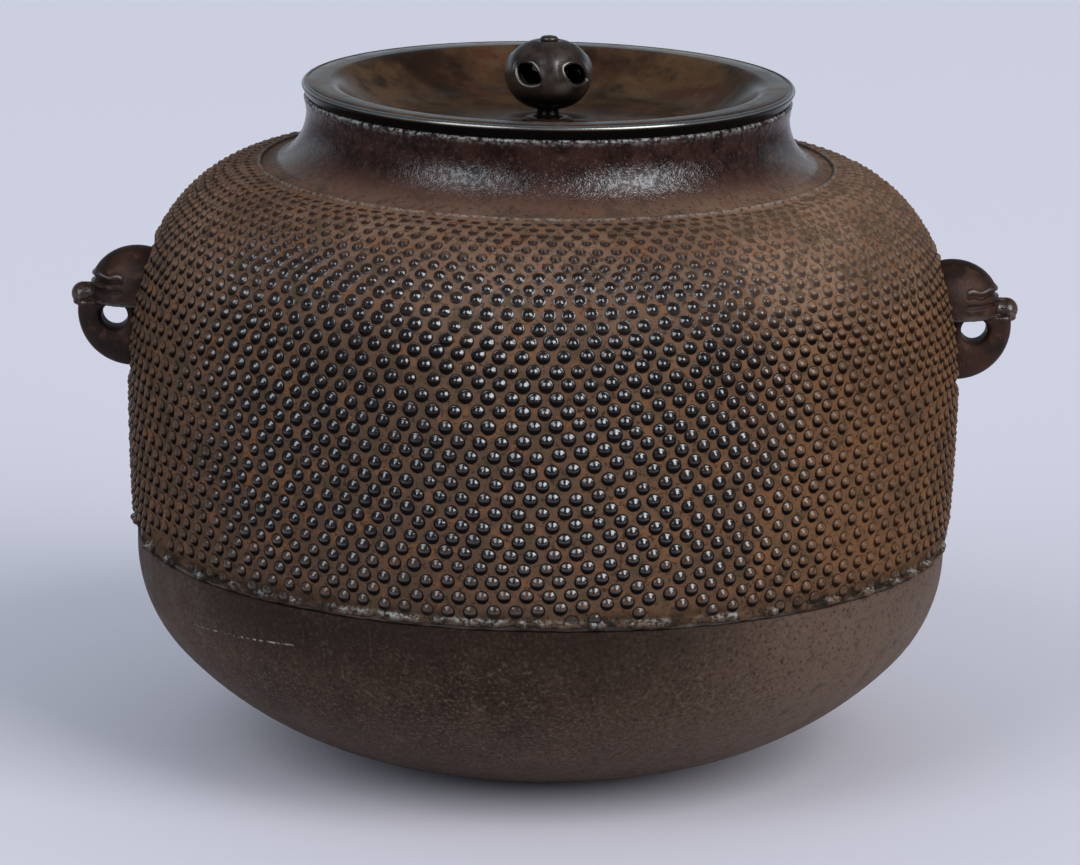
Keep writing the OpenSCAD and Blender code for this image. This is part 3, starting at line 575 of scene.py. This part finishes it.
def mask_grid(turns, steps):
    """The mask as seen from its middle: each ray's point is where it last leaves the inside, found by halving."""
    t = np.linspace(0, 2 * np.pi, turns, endpoint=False)
    u = np.radians(np.linspace(180, 0, steps))[:, None]
    way = np.stack([np.cos(u) + 0 * t, np.sin(u) * np.sin(t), -np.sin(u) * np.cos(t)], -1)
    reach = np.linspace(0.4, 26, 90)
    inside = mask_distance(mask_middle + way[..., None, :] * reach[:, None]) < 0
    last = inside.shape[-1] - 1 - np.argmax(inside[..., ::-1], axis=-1)
    near, far = reach[last], reach[np.minimum(last + 1, len(reach) - 1)]
    for _ in range(18):
        half = (near + far) / 2
        within = mask_distance(mask_middle + way * half[..., None]) < 0
        near, far = np.where(within, half, near), np.where(within, far, half)
    return mask_middle + way * near[..., None]


def jaw_grid(turns, around):
    """The loop of the jaw: a rounded section carried round the bore, from the bore out to the jaw's own disc.
    Section at each turn: middle + (a cos v, b sin v) with both raised to the power oblong, so it is squarish."""
    t = np.linspace(0, 2 * np.pi, turns, endpoint=False)
    v = np.linspace(0, 2 * np.pi, around, endpoint=False)[:, None]
    dx, dz = np.cos(t), np.sin(t)
    off = (bore_x - jaw_x) * dx + (bore_z - jaw_z) * dz
    gap = (bore_x - jaw_x) ** 2 + (bore_z - jaw_z) ** 2
    disc = -off + np.sqrt(off ** 2 - gap + jaw_r ** 2)
    disc = np.minimum(disc, np.where(dx < -0.05, (bore_x - jaw_back_x) / np.maximum(-dx, 0.05), 99))
    disc = np.minimum(disc, np.where(dz > 0.05, jaw_top / np.maximum(dz, 0.05), 99))
    a, middle = (disc - bore_r) / 2, (disc + bore_r) / 2
    rho = middle + a * np.sign(np.cos(v)) * np.abs(np.cos(v)) ** oblong
    side = jaw_half * np.sign(np.sin(v)) * np.abs(np.sin(v)) ** oblong + 0 * t
    return np.stack([bore_x + rho * dx, side, bore_z + rho * dz], -1)


lug_iron, tree, shader, place = finish("lug_iron", 0.0, 0.25)
cloud, patch, grit = noise(tree, place, 14), noise(tree, place, 4, 5, 0.6), noise(tree, place, 0.8, 3)
at_x, _, height = axes(tree, place)
point = tree.nodes.new("ShaderNodeNewGeometry")
_, _, upward = axes(tree, point.outputs["Normal"])
dark_brown, red_brown, rust_patch = (0.014, 0.0068, 0.0050), (0.040, 0.0165, 0.0100), (0.085, 0.034, 0.018)
hollow_shade, ridge_glint_grey = (0.006, 0.0035, 0.0030), (0.27, 0.27, 0.27)
tone = blend(tree, between(tree, cloud, 0.35, 0.65), dark_brown, red_brown)
tone = blend(tree, between(tree, patch, 0.52, 0.74, 0, 0.7), tone, rust_patch)
# Painted shade in the hollows, where the surface is least pointed.
tone = blend(tree, between(tree, point.outputs["Pointiness"], 0.47, 0.40), tone, hollow_shade)
brow_line = sums(tree, "MULTIPLY", between(tree, height, 0.1476, 0.1482), between(tree, height, 0.1500, 0.1494))
lip_line = sums(tree, "MULTIPLY", between(tree, height, 0.1379, 0.1383), between(tree, height, 0.1407, 0.1403))
ridge = between(tree, point.outputs["Pointiness"], 0.51, 0.57)
ridge = sums(tree, "MULTIPLY", ridge, sums(tree, "MAXIMUM", brow_line, lip_line))
nose_end = between(tree, sums(tree, "ABSOLUTE", at_x, 0), 0.1390, 0.1405)
nose_end = sums(tree, "MULTIPLY", nose_end, between(tree, height, 0.1385, 0.1395))
rubbed = sums(tree, "MAXIMUM", ridge, nose_end)
# Painted highlight: pale grey on the upward faces of the brow and lip ridges.
ridge_glint = sums(tree, "MULTIPLY", ridge, between(tree, upward, 0.05, 0.7, 0, 0.6))
tone = blend(tree, ridge_glint, tone, ridge_glint_grey)
tree.links.new(tone, shader.inputs["Base Color"])
tree.links.new(between(tree, rubbed, 0, 1, 0.22, 1.0), shader.inputs["Specular IOR Level"])
rough = sums(tree, "SUBTRACT", between(tree, patch, 0.3, 0.7, 0.40, 0.60), sums(tree, "MULTIPLY", rubbed, 0.22))
tree.links.new(rough, shader.inputs["Roughness"])
relief(tree, shader, sums(tree, "ADD", grit, patch), 0.16)
mask, jaw = mask_grid(168, 120), jaw_grid(120, 44)
for side, node, turned in (("right", "lug_right", 1.0), ("left", "lug_left", -1.0)):
    half_turn = np.array([turned, turned, 1.0])
    face = skin(f"mask_{side}", mask * half_turn, joined=True)
    loop = skin(f"jaw_{side}", jaw * half_turn, closed=True)
    for piece in (face, loop):
        piece.data.materials.append(lug_iron)
        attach(piece, "kettle")
    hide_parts(node)
    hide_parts(node)

# The lid: a cast and turned bronze disc with a level rim, a dish for the knob, and a ring that fits the mouth.
# Its brown patina is mottled, rubbed brighter along the edges, and shows a fine turned line near the rim.
lid_r, rim_top_z, dish_z, dish_r, dish_round = 76.1, 210.2, 198.4, 63.2, 3.0
dish_floor_r, cove_w, cove_h, lid_wall, rim_round = 42.2, 21.0, 8.8, 2.6, 1.1
locator_r, locator_in, locator_z, shank_hole = 70.1, 68.1, 200.0, 2.08
line_r, line_deep, level_in = 74.3, 0.35, 70.2
dish_rise, dish_power, dish_run = 10.75, 2.2, 22.6
edge_r, edge_round = 68.15, 5.5
u = np.linspace(0.973, 0, 26)[:, None]
dish = np.hstack([dish_floor_r + dish_run * u, dish_z + dish_rise * u ** dish_power])
lid_section = np.concatenate([
    [[shank_hole, dish_z - lid_wall], [18, dish_z - lid_wall], [34, dish_z - lid_wall]],
    arc((dish_floor_r, mouth_z), cove_w + lid_wall, mouth_z - dish_z + lid_wall, -90, -4, 20),
    [[dish_r + lid_wall + 0.4, mouth_z], [locator_in - 0.3, mouth_z], [locator_in, mouth_z - 0.3]],
    [[locator_in, locator_z + 0.3], [locator_in + 0.3, locator_z], [locator_r - 0.4, locator_z]],
    [[locator_r, locator_z + 0.4], [locator_r, mouth_z - 0.2], [locator_r + 0.2, mouth_z]],
    arc((lid_r - 1.7, mouth_z + 0.4), 0.4, 0.4, -90, -20, 5),
    arc((lid_r - rim_round, rim_top_z - rim_round), rim_round, rim_round, -20, 90, 10),
    [[line_r + line_deep + 0.1, rim_top_z], [line_r + line_deep - 0.05, rim_top_z - 0.04]],
    [[line_r, rim_top_z - line_deep]],
    [[line_r - line_deep + 0.05, rim_top_z - 0.04], [line_r - line_deep - 0.1, rim_top_z], [level_in, rim_top_z]],
    arc((edge_r, rim_top_z - edge_round), edge_round, edge_round, 90, 136, 14)[:-1],
    dish,
    [[30, dish_z], [16, dish_z], [shank_hole, dish_z]],
])
bronze_lid = skin("bronze_lid", spin(lid_section, 384), closed=True)

lid_bronze, tree, shader, place = finish("lid_bronze", 0.15, 0.45)
cloud, patch = noise(tree, place, 30, 4, 0.6), noise(tree, place, 14, 5, 0.6)
grain, grit = noise(tree, place, 1.8, 4, 0.6), noise(tree, place, 0.5, 2)
dark_bronze, brown_bronze, red_patch = (0.024, 0.0112, 0.0066), (0.082, 0.044, 0.022), (0.058, 0.020, 0.010)
dark_patch, dark_grain = (0.014, 0.0085, 0.0062), (0.010, 0.006, 0.005)
bare_bronze, shaded_side = (0.36, 0.38, 0.38), (0.0035, 0.0028, 0.0026)
tone = blend(tree, between(tree, cloud, 0.36, 0.64), dark_bronze, brown_bronze)
tone = blend(tree, between(tree, patch, 0.52, 0.68, 0, 0.9), tone, red_patch)
tone = blend(tree, between(tree, patch, 0.54, 0.32, 0, 0.85), tone, dark_patch)
tone = blend(tree, between(tree, grain, 0.38, 0.26, 0, 0.6), tone, dark_grain)
at_x, at_y, height = axes(tree, place)
far = sums(tree, "ADD", sums(tree, "POWER", at_x, 2), sums(tree, "POWER", at_y, 2))
far = sums(tree, "SQRT", far, 0)
rim_edge = sums(tree, "MULTIPLY", between(tree, far, 0.0750, 0.0756), between(tree, height, 0.2092, 0.2098))
rim_side = sums(tree, "MULTIPLY", between(tree, far, 0.0738, 0.0744), between(tree, height, 0.2094, 0.2088))
tone = blend(tree, rim_edge, tone, bare_bronze)
tree.links.new(between(tree, rim_edge, 0, 1, 0.15, 0.9), shader.inputs["Metallic"])
tree.links.new(between(tree, rim_side, 0, 1, 0.45, 0.05), shader.inputs["Specular IOR Level"])
tone = blend(tree, rim_side, tone, shaded_side)
tree.links.new(tone, shader.inputs["Base Color"])
tree.links.new(between(tree, patch, 0.3, 0.7, 0.11, 0.24), shader.inputs["Roughness"])
relief(tree, shader, sums(tree, "ADD", grit, patch), 0.025)
bronze_lid.data.materials.append(lid_bronze)
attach(bronze_lid, "lid")
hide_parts("lid")

# Seat and washer: two small bronze discs, one in the dish under the stem's collar, one under the lid.
# The stem goes through both; the seat is turned with a chamfer, and the washer keeps its modelled solid.
seat_r, seat_top = 7.6, 199.6
seat_section = np.concatenate([
    [[shank_hole, dish_z], [seat_r - 0.1, dish_z]],
    arc((seat_r - 0.4, dish_z + 0.4), 0.4, 0.4, 0, 50, 4),
    arc((seat_r - 1.4, seat_top - 0.3), 0.3, 0.3, 50, 90, 3),
    [[shank_hole, seat_top]],
])
knob_disc = skin("knob_disc", spin(seat_section, 96), closed=True)
knob_disc.data.materials.append(lid_bronze)
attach(knob_disc, "lid")
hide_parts("knob_seat")
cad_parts["stem_washer"].data.materials.clear()
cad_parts["stem_washer"].data.materials.append(lid_bronze)

# The stem: one bronze rivet. Its head is the nub on top, its flared collar carries the knob, and its end is
# peened over the washer under the lid, so that it alone holds the knob, the seat and the lid together.
stem_r, peen_r, peen_low, peen_top = 2.0, 3.6, 192.9, 194.3
collar_r, collar_top, head_r, head_low, head_middle = 4.6, 202.2, 2.7, 223.4, 224.0
stem_section = np.concatenate([
    [[0, peen_low], [peen_r - 0.7, peen_low], [peen_r - 0.15, peen_low + 0.6], [peen_r, peen_top - 0.05]],
    [[stem_r, peen_top], [stem_r, seat_top]],
    arc((collar_r, collar_top), 1.4, 2.6, 270, 180, 8),
    [[stem_r, collar_top + 0.05], [stem_r, head_low - 0.05], [head_r - 0.15, head_low], [head_r, head_low + 0.15]],
    arc((0, head_middle), head_r, 0.8, 5, 90, 8),
])
knob_rivet = skin("knob_rivet", spin(stem_section, 64), joined=True)
points = np.empty(len(knob_rivet.data.vertices) * 3, np.float32)
knob_rivet.data.vertices.foreach_get("co", points)
stain(knob_rivet.data, "hollow", (points[2::3] > 0.2022) & (points[2::3] < 0.22338))

knob_bronze, tree, shader, place = finish("knob_bronze", 0.1, 0.9)
shader.inputs["IOR"].default_value = 1.65
cloud, grit = noise(tree, place, 7, 5, 0.6), noise(tree, place, 0.6, 3)
dark_bronze, brown_bronze = (0.016, 0.0105, 0.0086), (0.044, 0.0280, 0.0210)
shaded, inside = (0.0040, 0.0026, 0.0022), (0.0012, 0.0010, 0.0010)
tone = blend(tree, between(tree, cloud, 0.35, 0.7), dark_bronze, brown_bronze)
hollow = tree.nodes.new("ShaderNodeAttribute")
hollow.attribute_name = "hollow"
_, _, height = axes(tree, place)
low = between(tree, height, 0.2125, 0.2055)
tone = blend(tree, low, tone, shaded)
# Painted shade: the inside of the knob and the rivet's shank within it are painted near black.
tone = blend(tree, hollow.outputs["Fac"], tone, inside)
kept_dark = sums(tree, "MAXIMUM", hollow.outputs["Fac"], sums(tree, "MULTIPLY", low, 0.85))
tree.links.new(between(tree, kept_dark, 0, 1, 0.9, 0.02), shader.inputs["Specular IOR Level"])
tree.links.new(tone, shader.inputs["Base Color"])
tree.links.new(between(tree, cloud, 0.3, 0.7, 0.20, 0.32), shader.inputs["Roughness"])
relief(tree, shader, sums(tree, "ADD", grit, cloud), 0.03)
knob_rivet.data.materials.append(knob_bronze)
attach(knob_rivet, "lid")
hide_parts("knob_stem")

# The knob: a hollow, flattened ball of bronze, pierced by five slanting almond holes with raised lips.
# It was cast thin so that it stays cool; only the rivet through its poles holds it.
knob_side, knob_level, knob_r, knob_middle, knob_wall = 10.6, 2.7, 13.3, 212.8, 2.2
hole_long, hole_high, hole_up, hole_slant = 5.0, 3.3, 1.8, np.radians(-24)
hole_first, hole_count, almond = -30.0, 5, 1.55
sector_half = np.pi / hole_count
through = [-2.0, -1.6, -1.0, -0.4, 0.0]
lip = [0.28, 0.40, 0.38, 0.28, 0.16, 0.07, 0.02]
knob_off = np.array([-knob_wall] * 6 + through + lip + [0.0] * 5)


def knob_grid(holes):
    """Each hole's share of the wall as one profile carried round the hole: from the inside wall through the hole,
    over its lip and out to the edge of that share. In the unrolled wall, p = knob_r turn and q = knob_side rise;
    a point is hole(v) + out(v) d or a blend on to the share's rim; then r = knob_level + (knob_side + off) cos rise
    and z = knob_middle + (knob_side + off) sin rise."""
    wide, tall = knob_r * sector_half, knob_side * np.pi / 2
    side_q, top_p = np.linspace(-1, 1, 25)[:-1], np.linspace(1, -1, 13)[:-1]
    rim = np.concatenate([
        np.stack([0 * side_q + 1, side_q], -1), np.stack([top_p, 0 * top_p + 1], -1),
        np.stack([0 * side_q - 1, -side_q], -1), np.stack([-top_p, 0 * top_p - 1], -1)])
    v = np.arctan2(rim[:, 1] * 1.15, rim[:, 0])
    rim = rim * (wide, tall)
    c, s = np.cos(v - hole_slant), np.sin(v - hole_slant)
    spread = (np.abs(c / hole_long) ** almond + np.abs(s / hole_high) ** almond) ** (-1 / almond)
    hole = spread[:, None] * np.stack([np.cos(v), np.sin(v)], -1) + (0, hole_up)
    out = rim - hole
    room = np.linalg.norm(out, axis=-1, keepdims=True)
    share = np.array([1.0, 0.8, 0.6, 0.4, 0.24, 0.1] + [0.0] * 10 + [0.1, 0.24, 0.4, 0.55, 0.7, 0.85, 1.0])
    step = np.array([0, 0, 0, 0, 0.2, 0.4, 0.35, 0.12, 0.0, 0.0, 0.03, 0.2, 0.5, 0.85, 1.2,
                     1.6, 1.6, 1.2, 0.8, 0.5, 0.3, 0.1, 0])
    flat = hole + out * np.minimum(share[:, None, None] + step[:, None, None] / room, 1)
    turn, rise = flat[..., 0] / knob_r, flat[..., 1] / knob_side
    fade = knob_off[:, None] * np.where(knob_off[:, None] > 0, np.cos(rise), 1)
    radius = knob_level + (knob_side + fade) * np.cos(rise)
    at = np.radians(hole_first + 360 / hole_count * np.arange(holes))[:, None, None] + turn
    z = knob_middle + (knob_side + fade) * np.sin(rise) + 0 * at
    return np.stack([radius * np.sin(at), -radius * np.cos(at), z], -1), np.abs(rim[:, 1]) > tall - 1e-6


pierced, at_pole = knob_grid(hole_count)
holes, profile, around = pierced.shape[:3]
grid = np.arange(holes * profile * around).reshape(holes, profile, around)
beside = np.roll(grid, -1, axis=2)
walls = np.stack([grid[:, :-1], beside[:, :-1], beside[:, 1:], grid[:, 1:]], -1).reshape(-1, 4)
poles = at_pole & np.roll(at_pole, -1)
outer, inner = (grid[:, -1], beside[:, -1]), (beside[:, 0], grid[:, 0])
caps = np.stack([row[:, poles] for row in outer + inner], -1)
mesh = bpy.data.meshes.new("pierced_knob")
knob_faces = np.concatenate([walls, caps.reshape(-1, 4)])[:, ::-1]
mesh.from_pydata(pierced.reshape(-1, 3) * 0.001, [], knob_faces, shade_flat=False)
stain(mesh, "hollow", np.broadcast_to(np.clip(-knob_off, 0, 1)[:, None], grid.shape))
weld(mesh, outward=True)
pierced_knob = put_in("pierced_knob", mesh)
pierced_knob.data.materials.append(knob_bronze)
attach(pierced_knob, "lid")
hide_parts("knob")

# The studio: a pale lavender-grey sheet on which the kettle stands, a large soft lamp on each side of the camera,
# the right one stronger, and an even, cool room. What glossy iron mirrors is a pale backdrop behind it and dark
# sides and front, as in a room where only the table is lit.
sheet_half = 9.0
mesh = bpy.data.meshes.new("studio_sheet")
mesh.from_pydata(sheet_half * np.array([[-1, -1, 0], [1, -1, 0], [1, 1, 0], [-1, 1, 0]]), [], [(0, 1, 2, 3)])
studio_sheet = put_in("studio_sheet", mesh)
sheet_paper, tree, shader, place = finish("sheet_paper", 0.0, 0.2)
shader.inputs["Roughness"].default_value = 0.9
at_x, at_y, _ = axes(tree, place)
pale_paper, unlit_paper = (0.585, 0.555, 0.62), (0.05, 0.05, 0.06)
sides = between(tree, sums(tree, "ABSOLUTE", at_x, 0), 0.35, 0.70, 0, 0.85)
unlit = sums(tree, "MAXIMUM", between(tree, at_y, -0.20, -0.60), sides)
in_mirror = tree.nodes.new("ShaderNodeLightPath").outputs["Is Glossy Ray"]
paper = blend(tree, sums(tree, "MULTIPLY", unlit, in_mirror), pale_paper, unlit_paper)
tree.links.new(paper, shader.inputs["Base Color"])
studio_sheet.data.materials.append(sheet_paper)

room = bpy.data.worlds.new("studio_room")
room.use_nodes = True
tree = room.node_tree
_, ahead, upward = axes(tree, tree.nodes.new("ShaderNodeTexCoord").outputs["Generated"])
tree.nodes["Background"].inputs["Color"].default_value = (0.76, 0.89, 1.0, 1)
backdrop = sums(tree, "MULTIPLY", between(tree, ahead, 0.30, 0.85), between(tree, upward, 0.36, 0.0, 0.08, 0.62))
in_mirror = tree.nodes.new("ShaderNodeLightPath").outputs["Is Glossy Ray"]
mirrored = sums(tree, "MULTIPLY", sums(tree, "MAXIMUM", backdrop, 0.035), in_mirror)
fill = between(tree, upward, 0.0, 0.6, 0.86, 0.66)
fill = sums(tree, "MULTIPLY", fill, sums(tree, "SUBTRACT", 1.0, in_mirror))
tree.links.new(sums(tree, "ADD", fill, mirrored), tree.nodes["Background"].inputs["Strength"])
bpy.context.scene.world = room
kettle_middle, lamp_rise, lamp_distance, lamp_tall = 0.11, 34, 22.0, 17.0


def soft_lamp(name, turn, width, power, colour):
    """An upright oblong lamp at a turn from the front, raised above level and facing the kettle's middle."""
    lamp = bpy.data.lights.new(name, "AREA")
    lamp.shape, lamp.size, lamp.size_y, lamp.energy, lamp.color = "RECTANGLE", width, lamp_tall, power, colour
    stand = put_in(name, lamp)
    a, e = np.radians(turn), np.radians(lamp_rise)
    way = Vector((np.sin(a) * np.cos(e), -np.cos(a) * np.cos(e), np.sin(e)))
    stand.location = Vector((0, 0, kettle_middle)) + way * lamp_distance
    stand.rotation_euler = way.to_track_quat("Z", "Y").to_euler()


soft_lamp("lamp_right", turn=48, width=13.0, power=3950, colour=(1.0, 0.985, 0.965))
soft_lamp("lamp_left", turn=-42, width=11.8, power=1960, colour=(0.93, 0.97, 1.0))

# The camera: far off with a long lens, looking down at the front, tipped by the picture's own small lean.
# Its place was fitted to the lid's ellipse, the shoulder line, the seam and the outline.
camera = bpy.data.cameras.new("camera")
camera.lens, camera.sensor_width = 206.87, 36.0
camera.clip_start, camera.clip_end = 0.05, 60
viewer = put_in("camera", camera)
down, tip, away = np.radians(13.27), np.radians(1.0), 1.9385
level, rise = np.array([1.0, 0, 0]), np.array([0, np.sin(down), np.cos(down)])
ahead = np.array([0, np.cos(down), -np.sin(down)])
right, up = np.cos(tip) * level + np.sin(tip) * rise, np.cos(tip) * rise - np.sin(tip) * level
aim = np.array([-0.00075, 0, 0.0992])
spot = aim - away * ahead
stance = np.eye(4)
stance[:3, 0], stance[:3, 1], stance[:3, 2], stance[:3, 3] = right, up, -ahead, spot
viewer.matrix_world = Matrix(stance.tolist())
bpy.context.scene.camera = viewer
bpy.context.scene.view_settings.view_transform = "Standard"
